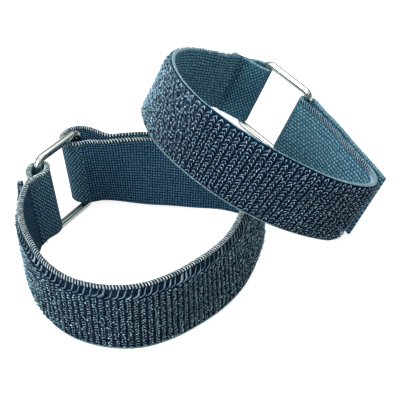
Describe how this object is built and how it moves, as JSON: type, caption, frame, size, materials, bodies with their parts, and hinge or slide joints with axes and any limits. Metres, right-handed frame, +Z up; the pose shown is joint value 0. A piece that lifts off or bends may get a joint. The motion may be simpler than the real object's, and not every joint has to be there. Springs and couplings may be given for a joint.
{
  "type": "pair of wrist straps",
  "caption": "Pair of elastic hook-and-loop wrist straps, each closed into a hoop through a rectangular wire ring, one lying over the other.",
  "frame": {"origin": "on the floor, under the middle of the pair's extent", "axes": "+Z up, +X to the right and +Y away from the viewer when the lower strap is in front and to the left"},
  "size_m": [0.1248, 0.1224, 0.0626],
  "materials": {
    "webbing": "woven elastic, navy teal",
    "pile": "brushed loop pile, dark navy",
    "selvedge": "corded selvedge, pale grey teal",
    "thread": "sewing thread, grey teal",
    "hook": "moulded hook tape, dark navy",
    "ring": "bright plated steel wire"
  },
  "bodies": {
    "lower_strap": {"lower_band": "webbing", "lower_pile": "pile", "lower_bead_top": "selvedge", "lower_bead_bottom": "selvedge", "lower_anchor_loop": "webbing", "lower_anchor_seam": "thread"},
    "lower_ring": {"lower_ring": "ring"},
    "lower_tail": {"lower_turn": "webbing", "lower_tail": "webbing", "lower_tail_beads": "selvedge", "lower_hook_patch": "hook"},
    "upper_strap": {"upper_band": "webbing", "upper_pile": "pile", "upper_bead_top": "selvedge", "upper_bead_bottom": "selvedge", "upper_anchor_loop": "webbing", "upper_anchor_seam": "thread"},
    "upper_ring": {"upper_ring": "ring"},
    "upper_tail": {"upper_turn": "webbing", "upper_tail": "webbing", "upper_tail_beads": "selvedge", "upper_hook_patch": "hook"}
  },
  "joints": [
    {"name": "lower_ring_swivel", "type": "hinge", "parent": "lower_strap", "child": "lower_ring", "pos_m": [-0.05597, -0.00201, 0.01569], "axis": [-0.1105, 0.0695, 0.9914], "range_deg": [-6, 6]},
    {"name": "lower_tail_peel", "type": "hinge", "parent": "lower_strap", "child": "lower_tail", "pos_m": [-0.04426, 0.01662, 0.01569], "axis": [-0.1105, 0.0695, 0.9914], "range_deg": [0, 150]},
    {"name": "upper_ring_swivel", "type": "hinge", "parent": "upper_strap", "child": "upper_ring", "pos_m": [0.01837, 0.0576, 0.02294], "axis": [0.3744, -0.023, 0.927], "range_deg": [-1.8, 1.8]},
    {"name": "upper_tail_peel", "type": "hinge", "parent": "upper_strap", "child": "upper_tail", "pos_m": [0.0342, 0.04388, 0.0162], "axis": [0.3744, -0.023, 0.927], "range_deg": [0, 150]},
    {"name": "upper_strap_lift", "type": "slide", "parent": "lower_strap", "child": "upper_strap", "axis": [0, 0, 1], "range_m": [0, 0.08]}
  ]
}
